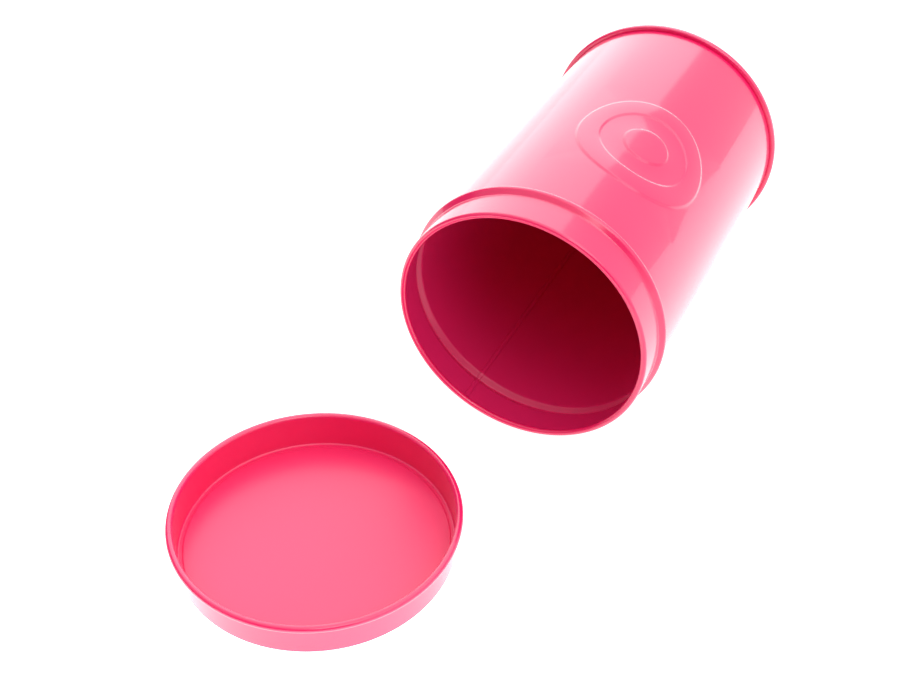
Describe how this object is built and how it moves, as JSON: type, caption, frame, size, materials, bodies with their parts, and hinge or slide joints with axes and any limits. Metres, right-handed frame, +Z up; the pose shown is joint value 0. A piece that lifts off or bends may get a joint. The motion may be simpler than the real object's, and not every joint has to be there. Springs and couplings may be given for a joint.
{
  "type": "round tin canister with slip lid",
  "caption": "Round tin canister lying on its side with its slip lid off and upside down beside it; stores small items such as brushes, puffs or swabs.",
  "frame": {"origin": "on the floor, under the middle of the arrangement's bounding box", "axes": "+Z up; +Y along the can's axis from its mouth to its base; +X to the right seen from the mouth side"},
  "size_m": [0.1164, 0.2364, 0.083],
  "materials": {
    "pink_lacquer": "gloss lacquer"
  },
  "bodies": {
    "can": {"body_shell": "pink_lacquer", "base_end": "pink_lacquer"},
    "lid": {"lid": "pink_lacquer"}
  },
  "joints": [
    {"name": "lid_swing", "type": "hinge", "parent": "can", "child": "lid", "pos_m": [-0.00447, -0.02685, -0.00406], "axis": [-0.8998, 0.3085, 0.3085], "range_deg": [0, 96.04]}
  ]
}
